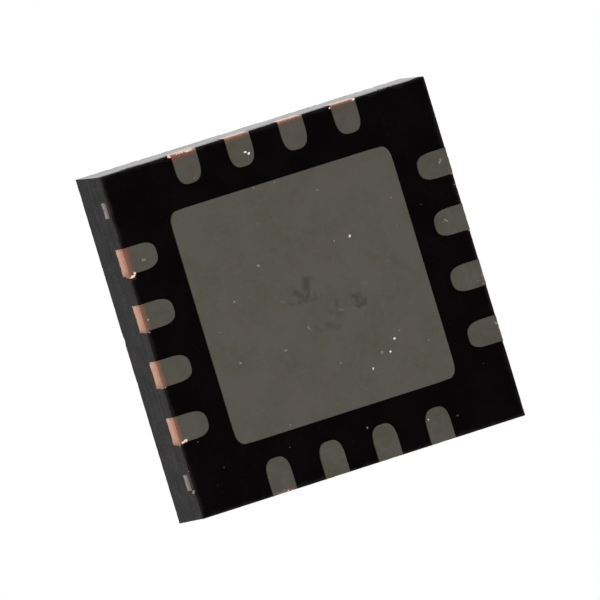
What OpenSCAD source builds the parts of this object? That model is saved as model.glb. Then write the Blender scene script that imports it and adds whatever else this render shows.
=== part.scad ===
// Power converter chip in a flat package with sixteen lands and an exposed pad.
// The seating plane is z = 0, the marking face is up, and lead 1 is at the +Y end of the -X side.
// Leads count on anticlockwise, seen from above.

/* [Body] */
// Side of the square body on the seating plane: 4 mm nominal less what the saw took
body_w = 3.95; // [3.85:0.01:4.2]
// Lean of each sawn side, out from the seating plane up to the marking face, as a worn blade leaves it
saw_flare = 0.02; // [0:0.005:0.03]
// Height from the seating plane to the marking face
body_h = 0.85; // [0.75:0.01:1]
// Step of the mould up from the seating plane, left by the moulding film
standoff = 0.02; // [0.005:0.005:0.05]

/* [Index mark] */
// Diameter of the round mark beside lead 1
mark_d = 0.4; // [0.2:0.05:0.6]
// Depth of the mark
mark_depth = 0.03; // [0.01:0.005:0.05]
// Middle of the mark, in from both sides
mark_inset = 0.55; // [0.4:0.05:0.8]

/* [Leadframe] */
// Thickness of the copper sheet
sheet_t = 0.2; // [0.16:0.01:0.25]
// Thickness left where the sheet is half etched from below
etched_t = 0.1; // [0.06:0.01:0.12]
// Shift of the etched pattern from the middle of the sawn square, along X
shift_x = -0.005; // [-0.05:0.005:0.05]
// Shift of the etched pattern from the middle of the sawn square, along Y
shift_y = -0.02; // [-0.05:0.005:0.05]

/* [Leads] */
// Leads on each side
side_leads = 4; // [2:1:4]
// Distance from one lead to the next
pitch = 0.65; // [0.5:0.01:0.75]
// Width of each land
land_w = 0.3; // [0.2:0.01:0.36]
// Length of each land, from the saw line to its round inner end
land_l = 0.375; // [0.3:0.005:0.42]
// Length of the rounded part of that end
land_end_l = 0.19; // [0.1:0.01:0.25]
// Fullness of the rounded end: 2 is an ellipse, and more is squarer
land_end_power = 2.4; // [2:0.1:4]
// Width of the half-etched flange that keys the inner end into the mould
flange_w = 0.04; // [0.02:0.01:0.06]
// Plain neck between the saw line and the flange
neck_l = 0.12; // [0.05:0.01:0.18]

/* [Exposed pad] */
// Side of the square that shows
pad_w = 2.7; // [2.3:0.05:2.75]
// Radius of its corners
pad_r = 0.11; // [0.05:0.01:0.2]
// Width of the half-etched rim around it
rim_w = 0.05; // [0.02:0.01:0.07]
// Width of the tie bars
tie_w = 0.18; // [0.12:0.01:0.24]
// Middle of each tie-bar end, in from the body's corner
tie_inset = 0.4; // [0.3:0.01:0.45]

/* [Die] */
// Side of the silicon along X
die_x = 2; // [1.6:0.05:2.1]
// Side of the silicon along Y
die_y = 2; // [1.6:0.05:2.1]
// Thickness of the silicon
die_t = 0.25; // [0.15:0.01:0.3]
// Thickness of the adhesive under it
attach_t = 0.025; // [0.015:0.005:0.04]
// Adhesive squeezed out past each edge of the die
attach_margin = 0.06; // [0.02:0.01:0.1]

/* [Bond wires] */
// Diameter of the wire
wire_d = 0.04; // [0.025:0.005:0.05]
// Height of the wire's top over the die
loop_h = 0.13; // [0.12:0.01:0.16]
// Radius of the bend at the top, to the middle of the wire
bend_r = 0.06; // [0.04:0.01:0.08]
// Diameter of the ball on the die
ball_d = 0.09; // [0.07:0.01:0.1]
// Height of the ball
ball_h = 0.02; // [0.01:0.005:0.03]
// Diameter of the flat stitch on the lead
stitch_d = 0.1; // [0.08:0.01:0.1]
// Thickness of the stitch
stitch_t = 0.012; // [0.008:0.001:0.015]
// Middle of each ball, in from the edge of the die
ball_inset = 0.1; // [0.08:0.01:0.15]
// Middle of each stitch, out from the inner end of its land
stitch_inset = 0.1; // [0.06:0.01:0.15]
// Spread of the balls along the die's edge, as a share of the leads' spread
fan = 0.72; // [0.6:0.01:0.75]
// Distance between the two wires of a power lead
pair_gap = 0.12; // [0.11:0.01:0.14]
// Place of each corner wire's ball, in from both edges of the die
corner_inset = 0.1; // [0.08:0.01:0.12]
// Reach of each corner wire past the die's corner, along X and along Y
corner_reach = 0.2; // [0.16:0.01:0.22]

/* [Hidden] */
$fn = 48;
eps = 0.01;                                 // overshoot of cuts, never seen
end_steps = 8;                              // flats on each half of a land's rounded end
bend_extra = 0.002;                         // the wire is this much fuller at its bend
overlap = 0.012;                            // length of straight wire held inside a bend
saw_spare = 0.1;                            // copper past the saw line, cut off by the saw
lead_count = 4 * side_leads;
power_leads = [1, 2, 3, 9, 10, 11, 12, 16]; // the supply, switch and ground leads, with two wires each
half = body_w / 2;
land_in = half - land_l;                    // inner end of every land, from the pattern's middle
etched_z = sheet_t - etched_t;
fork = half - tie_inset;                    // where each tie bar splits in two
attach_z = sheet_t;
die_z = attach_z + attach_t;
die_top = die_z + die_t;
wire_r = wire_d / 2;

copper = "peru";
gold = "gold";
compound = "dimgray";
silicon = "slategray";
adhesive = "silver";

// Each wire's lead, and its sideways place there in steps of pair_gap
lead_wires = [
    for (i = [1:lead_count])
        for (place = is_power(i) ? [0.5, -0.5] : [0])
            [i, place]
];

// Half the side of the sawn block at height z
function sawn_half(z) = half + saw_flare * z / body_h;
function is_power(i) = len([for (p = power_leads) if (p == i) p]) > 0;
function side_of(i) = floor((i - 1) / side_leads);
function along_side(i) = ((side_leads - 1) / 2 - (i - 1) % side_leads) * pitch;
function turned(p, angle) = [
    p[0] * cos(angle) - p[1] * sin(angle),
    p[0] * sin(angle) + p[1] * cos(angle)
];
function two_digits(i) = str(i < 10 ? "0" : "", i);
function lead_name(i) = str("lead_", two_digits(i));
function wire_name(i) = str("bond_wire_", two_digits(i));
function corner_name(i) = str("ground_wire_", i);

// Outline of a strip that runs in from beyond the saw line at -X and ends round at x = tip
function round_end(width, tip) = [
    for (k = [-end_steps:end_steps])
        let (a = 90 * k / end_steps)
        [
            tip - land_end_l + land_end_l * pow(cos(a), 2 / land_end_power),
            sign(a) * width / 2 * pow(abs(sin(a)), 2 / land_end_power)
        ]
];

// Block between two heights, as the saw leaves it
module sawn_block(low, high) {
    intersection_for(a = [0, 90])
        rotate([90, 0, a]) linear_extrude(2 * body_w, center = true)
        polygon([
            [-sawn_half(low), low],
            [sawn_half(low), low],
            [sawn_half(high), high],
            [-sawn_half(high), high]
        ]);
}

// What the saw leaves of the copper pattern
module sawn() {
    intersection() {
        sawn_block(-eps, sheet_t + eps);
        children();
    }
}

module in_pattern() {
    translate([shift_x, shift_y, 0]) children();
}

// Copper strip of one lead, with its flange, before sawing
module lead_strip(i) {
    in_pattern()
        rotate([0, 0, 90 * side_of(i)])
        translate([0, along_side(i), 0]) {
            linear_extrude(sheet_t)
                polygon(concat(
                    [[-half - saw_spare, land_w / 2], [-half - saw_spare, -land_w / 2]],
                    round_end(land_w, -land_in)
                ));
            translate([0, 0, etched_z]) linear_extrude(etched_t)
                polygon(concat(
                    [[neck_l - half, land_w / 2 + flange_w], [neck_l - half, -land_w / 2 - flange_w]],
                    round_end(land_w + 2 * flange_w, flange_w - land_in)
                ));
        }
}

module round_square(width, r) {
    square([width - 2 * r, width], center = true);
    square([width, width - 2 * r], center = true);
    for (x = [-1, 1], y = [-1, 1])
        translate([x, y] * (width / 2 - r)) circle(r);
}

// One tie bar: out from the pad's corner, then forked to the two sides
module tie_bar() {
    root = pad_w / 2 - pad_r;
    translate([root, root]) rotate([0, 0, 45])
        translate([0, -tie_w / 2]) square([(fork - root) * sqrt(2), tie_w]);
    translate([fork, fork]) circle(d = tie_w);
    translate([fork, fork - tie_w / 2]) square([tie_inset + saw_spare, tie_w]);
    translate([fork - tie_w / 2, fork]) square([tie_w, tie_inset + saw_spare]);
}

// Pad, rim and tie bars before sawing
module pad_sheet() {
    in_pattern() {
        linear_extrude(sheet_t) round_square(pad_w, pad_r);
        translate([0, 0, etched_z]) linear_extrude(etched_t) {
            round_square(pad_w + 2 * rim_w, pad_r + rim_w);
            for (a = [0:90:270]) rotate([0, 0, a]) tie_bar();
        }
    }
}

// A wire from a ball on the die at point a to a stitch at height foot_z at point b
module wire(a, b, foot_z) {
    run = b - a;
    span = norm(run);
    rise = die_top + loop_h - wire_r - bend_r; // middle of the bend
    drop = rise - foot_z;
    reach = norm([span - bend_r, drop]);
    slope = atan2(drop, span - bend_r) + asin(bend_r / reach);
    length = sqrt(reach * reach - bend_r * bend_r);
    translate([a[0], a[1], 0]) rotate([0, 0, atan2(run[1], run[0])]) {
        translate([0, 0, die_top]) cylinder(d = ball_d, h = ball_h);
        translate([0, 0, die_top]) cylinder(r = wire_r, h = rise + overlap - die_top);
        translate([bend_r, 0, rise]) rotate([90, 0, 0]) rotate([0, 0, 90 - slope])
            rotate_extrude(angle = 90 + slope)
            translate([bend_r, 0]) circle(wire_r + bend_extra);
        intersection() {
            translate([bend_r + bend_r * sin(slope), 0, rise + bend_r * cos(slope)])
                rotate([0, 90 + slope, 0])
                translate([0, 0, -overlap]) cylinder(r = wire_r, h = length + overlap + 2 * wire_d);
            translate([0, -body_w / 2, foot_z]) cube([body_w, body_w, body_h]);
        }
        translate([span, 0, foot_z]) cylinder(d = stitch_d, h = stitch_t);
    }
}

// Wire number i of lead_wires, from the die's edge to its lead
module lead_wire(i) {
    lead = lead_wires[i - 1][0];
    aside = lead_wires[i - 1][1] * pair_gap;
    angle = 90 * side_of(lead);
    die_half = (side_of(lead) % 2 == 0 ? die_x : die_y) / 2;
    in_pattern() wire(
        turned([ball_inset - die_half, along_side(lead) * fan + aside], angle),
        turned([-land_in - stitch_inset, along_side(lead) + aside], angle),
        sheet_t
    );
}

// Wire from a corner of the die down to the pad
module corner_wire(i) {
    x = i == 1 || i == 2 ? -1 : 1;
    y = i == 1 || i == 4 ? 1 : -1;
    in_pattern() wire(
        [x * (die_x / 2 - corner_inset), y * (die_y / 2 - corner_inset)],
        [x * (die_x / 2 + corner_reach), y * (die_y / 2 + corner_reach)],
        sheet_t
    );
}

module die_block() {
    in_pattern() translate([-die_x / 2, -die_y / 2, die_z]) cube([die_x, die_y, die_t]);
}

module attach_layer() {
    x = die_x + 2 * attach_margin;
    y = die_y + 2 * attach_margin;
    in_pattern() translate([-x / 2, -y / 2, attach_z]) cube([x, y, attach_t]);
}

module mould_body() {
    color(compound) difference() {
        sawn_block(standoff, body_h);
        translate([mark_inset - half, half - mark_inset, body_h - mark_depth])
            cylinder(d = mark_d, h = mark_depth + eps);
        pad_sheet();
        for (i = [1:lead_count]) lead_strip(i);
        attach_layer();
        die_block();
        for (i = [1:len(lead_wires)]) lead_wire(i);
        for (i = [1:4]) corner_wire(i);
    }
}

module die_pad() {
    color(copper) sawn() pad_sheet();
}

module lead(i) {
    color(copper) sawn() lead_strip(i);
}

module die_attach() {
    color(adhesive) attach_layer();
}

module die() {
    color(silicon) die_block();
}

module bond_wire(i) {
    color(gold) lead_wire(i);
}

module ground_wire(i) {
    color(gold) corner_wire(i);
}

mould_body();
die_pad();
die_attach();
die();
for (i = [1:lead_count])
    lead(i);
for (i = [1:len(lead_wires)])
    bond_wire(i);
for (i = [1:4])
    ground_wire(i);
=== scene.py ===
import math
import random

import bmesh
import bpy
from mathutils import Matrix, Vector, noise


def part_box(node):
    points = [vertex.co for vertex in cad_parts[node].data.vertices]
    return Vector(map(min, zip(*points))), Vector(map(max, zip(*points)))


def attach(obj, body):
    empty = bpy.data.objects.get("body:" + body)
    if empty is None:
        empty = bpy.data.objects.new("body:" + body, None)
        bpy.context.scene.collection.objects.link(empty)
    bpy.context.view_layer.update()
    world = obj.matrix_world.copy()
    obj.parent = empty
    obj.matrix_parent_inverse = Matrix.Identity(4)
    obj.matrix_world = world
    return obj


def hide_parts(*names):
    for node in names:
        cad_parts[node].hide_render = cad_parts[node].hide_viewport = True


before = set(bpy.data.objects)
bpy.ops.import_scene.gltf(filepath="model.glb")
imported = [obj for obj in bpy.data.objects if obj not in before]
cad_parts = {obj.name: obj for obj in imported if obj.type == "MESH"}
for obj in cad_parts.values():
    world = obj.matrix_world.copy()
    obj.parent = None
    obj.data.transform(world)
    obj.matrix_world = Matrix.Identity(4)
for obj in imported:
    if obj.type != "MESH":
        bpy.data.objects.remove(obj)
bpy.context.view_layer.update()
scene = bpy.context.scene
mm = 0.001


def srgb(red, green, blue):
    # a colour as a paint program gives it, from 0 to 255, made linear for the shaders
    def linear(value):
        value /= 255
        return value / 12.92 if value <= 0.04045 else ((value + 0.055) / 1.055) ** 2.4
    return (linear(red), linear(green), linear(blue), 1)


# every node is added to the tree that its inputs come from

def addNode(tree, kind, inputs=None, **settings):
    # one node with its settings, and its inputs either fixed or joined to another node's output
    made = tree.nodes.new("ShaderNode" + kind)
    for name, value in settings.items():
        setattr(made, name, value)
    for name, value in (inputs or {}).items():
        if isinstance(value, bpy.types.NodeSocket):
            tree.links.new(value, made.inputs[name])
        else:
            made.inputs[name].default_value = value
    return made


def join(value, socket):
    value.id_data.links.new(value, socket)


def calc(operation, a, b=0.0, clamp=False):
    tree = (a if isinstance(a, bpy.types.NodeSocket) else b).id_data
    return addNode(tree, "Math", {0: a, 1: b}, operation=operation, use_clamp=clamp).outputs[0]


def times(a, b):
    return calc("MULTIPLY", a, b)


def plus(a, b):
    return calc("ADD", a, b)


def minus(a, b):
    return calc("SUBTRACT", a, b)


def larger(a, b):
    return calc("MAXIMUM", a, b)


def vectorCalc(operation, a, b):
    second = "Scale" if operation == "SCALE" else 1
    made = addNode(a.id_data, "VectorMath", {0: a, second: b}, operation=operation)
    return made.outputs["Value" if operation in ("DOT_PRODUCT", "DISTANCE") else "Vector"]


def axesOf(place):
    return addNode(place.id_data, "SeparateXYZ", {0: place}).outputs


def noiseAt(place, scale, detail):
    return addNode(place.id_data, "TexNoise", {"Vector": place, "Scale": scale, "Detail": detail}).outputs


def mixColor(factor, a, b):
    return addNode(factor.id_data, "Mix", {0: factor, 6: a, 7: b}, data_type="RGBA").outputs[2]


def spread(value, low, high, first=0.0, last=1.0):
    # from low to high while the value goes from first to last
    return addNode(value.id_data, "MapRange", {"Value": value, "From Min": first, "From Max": last,
                                               "To Min": low, "To Max": high}).outputs["Result"]


def smoothMask(value, low, high):
    # 0 below low and 1 above high, smooth between them; low may be the larger for a falling mask
    made = addNode(value.id_data, "MapRange", {"Value": value, "From Min": low, "From Max": high},
                   interpolation_type="SMOOTHSTEP", clamp=True)
    return made.outputs["Result"]


def ramp(factor, stops):
    # colours along the factor, from stops of (place, red, green, blue)
    made = addNode(factor.id_data, "ValToRGB", {0: factor})
    elements = made.color_ramp.elements
    while len(elements) < len(stops):
        elements.new(0.5)
    for element, stop in zip(elements, stops):
        element.position = stop[0]
    for element, stop in zip(elements, stops):
        element.color = srgb(*stop[1:])
    return made.outputs["Color"]


def newGroup(name, inputs, outputs):
    # an empty node group: a Place, more inputs by name and first value, and plain numbers as outputs
    tree = bpy.data.node_groups.new(name, "ShaderNodeTree")
    for socketName, value in {"Place": (0, 0, 0), **inputs}.items():
        kind = "NodeSocketVector" if isinstance(value, tuple) else "NodeSocketFloat"
        tree.interface.new_socket(socketName, in_out="INPUT", socket_type=kind).default_value = value
    for socketName in outputs:
        tree.interface.new_socket(socketName, in_out="OUTPUT", socket_type="NodeSocketFloat")
    return tree, tree.nodes.new("NodeGroupInput").outputs, tree.nodes.new("NodeGroupOutput").inputs


def useGroup(group, place, **inputs):
    return addNode(place.id_data, "Group", {"Place": place, **inputs}, node_tree=group).outputs


def startMaterial(name, **fixed):
    # a material, its Principled shader with the fixed inputs set on its own sockets, and the place in mm
    material = bpy.data.materials.new(name)
    material.use_nodes = True
    shader = material.node_tree.nodes["Principled BSDF"]
    for socketName, value in fixed.items():
        shader.inputs[socketName.replace("_", " ")].default_value = value
    place = addNode(material.node_tree, "TexCoord").outputs["Object"]
    return material, shader, vectorCalc("SCALE", place, 1 / mm)


def joinBump(shader, height, distance):
    bump = addNode(height.id_data, "Bump", {"Height": height, "Distance": distance * mm})
    join(bump.outputs[0], shader.inputs["Normal"])


def addObject(name, data):
    made = bpy.data.objects.new(name, data)
    scene.collection.objects.link(made)
    return made


camera = {
    "lens": 840,                # mm on a 36 mm sensor: a long lens from close to flat on
    "tilt": 18.242,             # degrees between the line of sight and the part's own axis
    "azimuth": 8.545,           # which way that tilt leans
    "roll": 17.623,             # how far the part is turned in the picture
    "aim": (-0.1669, -0.0120),  # where the line of sight meets the seating plane, mm
    "distance": 155.533,        # from the camera to that point, mm
}


def placeCamera():
    tilt, azimuth, roll = (math.radians(camera[k]) for k in ("tilt", "azimuth", "roll"))
    ahead = Vector((math.sin(tilt) * math.cos(azimuth), math.sin(tilt) * math.sin(azimuth), math.cos(tilt)))
    level = Vector((1, 0, 0))
    level = (level - ahead * level.dot(ahead)).normalized()
    above = level.cross(ahead)
    right = level * math.cos(roll) - above * math.sin(roll)
    up = level * math.sin(roll) + above * math.cos(roll)
    lens = bpy.data.cameras.new("camera")
    lens.lens = camera["lens"]
    lens.clip_start = 0.005
    lens.clip_end = 2
    made = addObject("camera", lens)
    spot = Vector((camera["aim"][0], camera["aim"][1], 0)) - ahead * camera["distance"]
    made.matrix_world = Matrix.Translation(spot * mm) @ Matrix((right, up, -ahead)).transposed().to_4x4()
    scene.camera = made


placeCamera()
print("camera placed")


light = {
    "surround": 0.40,           # brightness of the surroundings as the matt surfaces see them
    "distance": 0.30,           # lamps from the part, m
    "lamps": {                  # direction, share of the light on the face that it looks at, size in m
        "lampUnderKey": ((-0.45, 0.30, -0.84), 0.36, 0.16),
        "lampUnderFill": ((0.50, -0.20, -0.84), 0.24, 0.20),
        "lampOverKey": ((-0.45, -0.50, 0.74), 0.36, 0.16),
        "lampOverFill": ((0.55, 0.35, 0.76), 0.24, 0.20),
    },
}


def makeWorld():
    world = bpy.data.worlds.new("surround")
    scene.world = world
    world.use_nodes = True
    tree = world.node_tree
    ray = addNode(tree, "LightPath").outputs
    seen = larger(larger(ray["Is Camera Ray"], ray["Is Glossy Ray"]), ray["Is Transmission Ray"])
    back = tree.nodes["Background"].inputs
    back["Color"].default_value = (1, 1, 1, 1)
    join(spread(seen, light["surround"], 1.0), back["Strength"])


def makeLamps():
    for name, (direction, share, size) in light["lamps"].items():
        direction = Vector(direction).normalized()
        lamp = bpy.data.lights.new(name, "AREA")
        lamp.shape = "DISK"
        lamp.size = size
        # the power that gives this share of full white on a flat surface facing up or down
        lamp.energy = share * (math.pi * light["distance"]) ** 2 / abs(direction.z)
        made = addObject(name, lamp)
        made.location = direction * light["distance"]
        made.rotation_mode = "QUATERNION"
        made.rotation_quaternion = direction.to_track_quat("Z", "Y")
        made.visible_camera = False
        made.visible_glossy = False


makeWorld()
makeLamps()
print("surroundings and lamps placed")


floor = {
    "reach": 0.6,               # half its side, m
    "gap": 0.01,                # under the lands, so that it is seen from above without flicker, mm
    "color": (250, 250, 250),
}


def makeFloor():
    reach = floor["reach"]
    mesh = bpy.data.meshes.new("floor")
    corners = [(-reach, -reach, 0), (reach, -reach, 0), (reach, reach, 0), (-reach, reach, 0)]
    mesh.from_pydata(corners, [], [(0, 1, 2, 3)])
    made = addObject("floor", mesh)
    made.location.z = -floor["gap"] * mm
    # the photograph looks up at the lands, so the floor can be seen only from above
    material = bpy.data.materials.new("paleFloor")
    material.use_nodes = True
    tree = material.node_tree
    shader = tree.nodes["Principled BSDF"]
    shader.inputs["Base Color"].default_value = srgb(*floor["color"])
    shader.inputs["Roughness"].default_value = 0.9
    shader.inputs["Specular IOR Level"].default_value = 0
    under = addNode(tree, "NewGeometry").outputs["Backfacing"]
    clear = addNode(tree, "BsdfTransparent").outputs[0]
    both = addNode(tree, "MixShader", {0: under, 1: shader.outputs[0], 2: clear})
    tree.links.new(both.outputs[0], tree.nodes["Material Output"].inputs["Surface"])
    mesh.materials.append(material)
    made.visible_diffuse = made.visible_glossy = made.visible_transmission = made.visible_shadow = False


makeFloor()
print("floor laid")


package = {                     # measures that several pieces share, mm
    "half": 1.975,              # half the sawn side on the seating plane
    "flare": 0.02,              # how far each sawn side leans out up to the marking face
    "height": 0.85,
    "standoff": 0.02,           # step of the mould up from the lands
    "sheet": 0.2,               # thickness of the copper
    "etched": 0.1,              # underside of the half-etched parts
    "shift": (0.0, -0.02),      # of the copper pattern in the sawn square
    "wide": (0.0085, 0.0048),   # how much further out the +X and +Y sides were sawn
    # how much further the -X and -Y sides lean out by the marking face: at the middle, and its change per mm
    "lean": ((0.0035, -0.0012), (0.0050, -0.0014)),
    "sawBand": (1.93, 0.03),    # where both begin, out from the middle, and how soon they are full
    "smear": 0.05,              # how far the blade smears the copper up the side
}


def sawnHalf(z):
    return package["half"] + package["flare"] * z / package["height"]


def turned(side, x, y):
    # from the frame of the -X side to that of side 0 to 3, anticlockwise from above
    for _ in range(side):
        x, y = -y, x
    return x, y


def sideShift(side):
    # the pattern's shift as seen from that side
    return turned((4 - side) % 4, *package["shift"])


def seeded(place, scale, seed):
    return Vector(place) * scale + Vector((seed * 7.3, seed * 3.1, seed * 5.7))


def waver(place, scale, seed):
    # smooth noise from -1 to 1 at a place in mm
    return noise.noise(seeded(place, scale, seed))


def fineWaver(place, scale, seed):
    return noise.fractal(seeded(place, scale, seed), 1.0, 2.0, 3)


def meshPiece(name, points, faces, weld=1e-4):
    # a closed mesh from points in mm, welded and with its faces turned outwards
    mesh = bpy.data.meshes.new(name)
    mesh.from_pydata([Vector(p) for p in points], [], faces)
    build = bmesh.new()
    build.from_mesh(mesh)
    bmesh.ops.remove_doubles(build, verts=build.verts, dist=weld)
    bmesh.ops.dissolve_degenerate(build, edges=build.edges, dist=weld)
    bmesh.ops.recalc_face_normals(build, faces=build.faces)
    build.to_mesh(mesh)
    build.free()
    return addObject(name, mesh)


def loft(loops):
    # faces between loops of the same length, closed by a flat face at each end
    count = len(loops[0])
    faces = [tuple(range(count)), tuple(range(count * (len(loops) - 1), count * len(loops)))]
    for k in range(len(loops) - 1):
        for j in range(count):
            a, b = k * count + j, k * count + (j + 1) % count
            faces.append((a, b, b + count, a + count))
    return [p for loop in loops for p in loop], faces


def smoothByAngle(piece, degrees):
    build = bmesh.new()
    build.from_mesh(piece.data)
    for face in build.faces:
        face.smooth = True
    for edge in build.edges:
        edge.smooth = edge.is_manifold and edge.calc_face_angle(0) < math.radians(degrees)
    build.to_mesh(piece.data)
    build.free()


def combine(piece, others, operation):
    # exact boolean of the piece with other closed pieces, which are then removed
    for other in others:
        change = piece.modifiers.new("cut", "BOOLEAN")
        change.operation = operation
        change.solver = "MANIFOLD"
        change.object = other
        bpy.context.view_layer.objects.active = piece
        with bpy.context.temp_override(object=piece, active_object=piece):
            bpy.ops.object.modifier_apply(modifier=change.name)
        bpy.data.objects.remove(other)


def sawnWide(value, along, z, axis):
    # a coordinate near a sawn side, moved to where the blade really went
    start, run = package["sawBand"]
    near = min(1.0, max(0.0, (abs(value) - start) / run))
    if value > 0:
        return value + near * package["wide"][axis]
    middle, slope = package["lean"][axis]
    return value - near * (middle + slope * along) * min(1.0, max(0.0, z / package["height"]))


def toMetres(piece):
    for vertex in piece.data.vertices:
        x, y, z = vertex.co
        vertex.co = (sawnWide(x, y, z, 0), sawnWide(y, x, z, 1), z)
    piece.data.transform(Matrix.Scale(mm, 4))
    piece.data.update()


def finishPiece(piece, nodes, materials, angle):
    smoothByAngle(piece, angle)
    toMetres(piece)
    piece.data.materials.clear()        # the booleans leave empty ones
    for material in materials:
        piece.data.materials.append(material)
    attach(piece, "root")
    if nodes:
        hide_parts(*nodes)


def makeSawDepth():
    # distance in from the nearest sawn side, at a place in mm
    tree, given, result = newGroup("sawDepth", {}, ["Depth"])
    axes = axesOf(given["Place"])
    reach = []
    for axis, wide in zip("XY", package["wide"]):
        extra = times(calc("GREATER_THAN", axes[axis], 0.0), wide)
        reach.append(minus(calc("ABSOLUTE", axes[axis]), extra))
    far = larger(*reach)
    half = plus(times(axes["Z"], package["flare"] / package["height"]), package["half"])
    join(minus(half, far), result["Depth"])
    return tree


def makeGrain():
    # soft-edged patches of noise, from 0 to 1
    tree, given, result = newGroup(
        "grain", {"Scale": 10.0, "Detail": 3.0, "Low": 0.4, "High": 0.6}, ["Mask", "Height"])
    spots = noiseAt(given["Place"], given["Scale"], given["Detail"])[0]
    join(smoothMask(spots, given["Low"], given["High"]), result["Mask"])
    join(spots, result["Height"])
    return tree


def makeScratches():
    # fine straight scratches, one way across the face
    tree, given, result = newGroup(
        "scratches", {"Turn": 0.0, "Fine": 60.0, "Long": 1.5, "Low": 0.6, "High": 0.75}, ["Mask"])
    spun = addNode(tree, "VectorRotate", {"Vector": given["Place"], "Angle": given["Turn"]},
                   rotation_type="Z_AXIS").outputs[0]
    stretch = addNode(tree, "CombineXYZ", {0: given["Long"], 1: given["Fine"], 2: given["Long"]}).outputs[0]
    drawn = noiseAt(vectorCalc("MULTIPLY", spun, stretch), 1.0, 2.0)[0]
    join(smoothMask(drawn, given["Low"], given["High"]), result["Mask"])
    return tree


def makeSmudge():
    # one soft stroke from Start to End, ragged at its edge
    tree, given, result = newGroup(
        "smudge", {"Start": (0, 0, 0), "End": (0, 0, 0), "Width": 0.05, "Strength": 1.0}, ["Mask"])
    wobble = noiseAt(given["Place"], 14.0, 3.0)["Color"]
    wobble = vectorCalc("SCALE", vectorCalc("SUBTRACT", wobble, (0.5, 0.5, 0.5)), 0.04)
    place = vectorCalc("ADD", given["Place"], wobble)
    reach = vectorCalc("SUBTRACT", given["End"], given["Start"])
    away = vectorCalc("SUBTRACT", place, given["Start"])
    along = vectorCalc("DOT_PRODUCT", away, reach)
    whole = vectorCalc("DOT_PRODUCT", reach, reach)
    nearest = vectorCalc("SCALE", reach, calc("DIVIDE", along, whole, clamp=True))
    off = vectorCalc("DISTANCE", away, nearest)
    inside = smoothMask(calc("DIVIDE", off, given["Width"]), 1.0, 0.1)
    join(times(inside, given["Strength"]), result["Mask"])
    return tree


sawDepth, grain, scratches, smudge = makeSawDepth(), makeGrain(), makeScratches(), makeSmudge()
print("node groups made")


def strokeMask(place, start, end, width, strength):
    # a stroke between two places in mm, which are on the seating plane if they have no height
    start, end = (*start, 0)[:3], (*end, 0)[:3]
    return useGroup(smudge, place, Start=start, End=end, Width=width, Strength=strength)["Mask"]


def strokesMask(place, strokes):
    mask = 0.0
    for stroke in strokes:
        mask = larger(strokeMask(place, *stroke), mask)
    return mask


mouldLook = {
    # tones are those of the resin, its clouding and its filler; then how fine these are, gloss and bump in mm
    "under": {"tones": ((5, 3, 4), (9, 6, 8), (16, 13, 16)),
              "cloud": 2.2, "filler": 38.0, "roughness": 0.75, "bump": 0.004},
    "sawn": {"tones": ((38, 36, 37), (48, 45, 46), (72, 69, 70)),
             "cloud": 5.0, "filler": 30.0, "roughness": 0.1, "bump": 0.0006},
    "top": {"tones": ((33, 32, 34), (42, 41, 44), (52, 51, 54)),
            "cloud": 1.8, "filler": 34.0, "roughness": 0.58, "bump": 0.005},
    "worn": (33, 30, 28),       # broken edge between the underside and the sawn faces
    "wornReach": 0.06,          # how far that shows on the underside, mm
    "shade": (26, 24, 25),      # sawn faces low down by that edge
    "shadeShare": 0.75,
    "shadeHeights": (0.13, 0.02),               # where that ends and where it is full, mm
    "bladeLines": (1.1, 1.1, 9.0),              # how fine the blade's lines are along each axis
    "bladeGloss": (0.02, 0.2),  # roughness between those lines
    "dullFrom": (1.79, 1.84),   # the -Y face is torn and dull from here on, towards its +X corner
    "dullSlant": -0.6,          # how that edge slants with height
    "dullRagged": 0.3,          # and how ragged it is
    "dull": 0.5,                # roughness that this adds
    "calm": 0.65,               # share of the lines' roughness that the -Y face lacks
    "torn": 0.22,               # roughness that it gains low down
    "tornHeights": (0.32, 0.03),                # where that ends and where it is full, mm
    "smear": (68, 50, 48),      # copper rubbed into the resin below the tie bars of the -X face
    "smears": [                 # two ends of each such smear in mm, width and strength
        ((-1.977, -1.665, 0.075), (-1.977, -1.575, 0.065), 0.07, 0.85),
        ((-1.977, 1.485, 0.090), (-1.977, 1.575, 0.080), 0.07, 0.85),
    ],
}


def mouldMaterial(name, tones, cloud, filler, roughness, bump, **fixed):
    dark, middle, pale = (srgb(*tone) for tone in tones)
    material, shader, place = startMaterial(name, **fixed)
    clouds = useGroup(grain, place, Scale=cloud, Detail=5.0, Low=0.35, High=0.68)
    specks = useGroup(grain, place, Scale=filler, Detail=2.0, Low=0.62, High=0.74)
    tint = mixColor(specks["Mask"], mixColor(clouds["Mask"], dark, middle), pale)
    gloss = spread(clouds["Height"], roughness - 0.08, roughness + 0.08)
    joinBump(shader, specks["Height"], bump)
    join(tint, shader.inputs["Base Color"])
    join(gloss, shader.inputs["Roughness"])
    return material, shader, place, tint


def undersideMaterial():
    material, shader, place, tint = mouldMaterial(
        "mouldUnderside", **mouldLook["under"], Specular_IOR_Level=0.02)
    depth = useGroup(sawDepth, place)["Depth"]
    ragged = useGroup(grain, place, Scale=9.0, Detail=4.0, Low=0.2, High=0.8)["Mask"]
    reach = times(plus(ragged, 0.5), mouldLook["wornReach"])
    worn = calc("POWER", smoothMask(calc("DIVIDE", depth, reach), 1.0, 0.0), 2.0)
    join(mixColor(worn, tint, srgb(*mouldLook["worn"])), shader.inputs["Base Color"])
    return material


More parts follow.
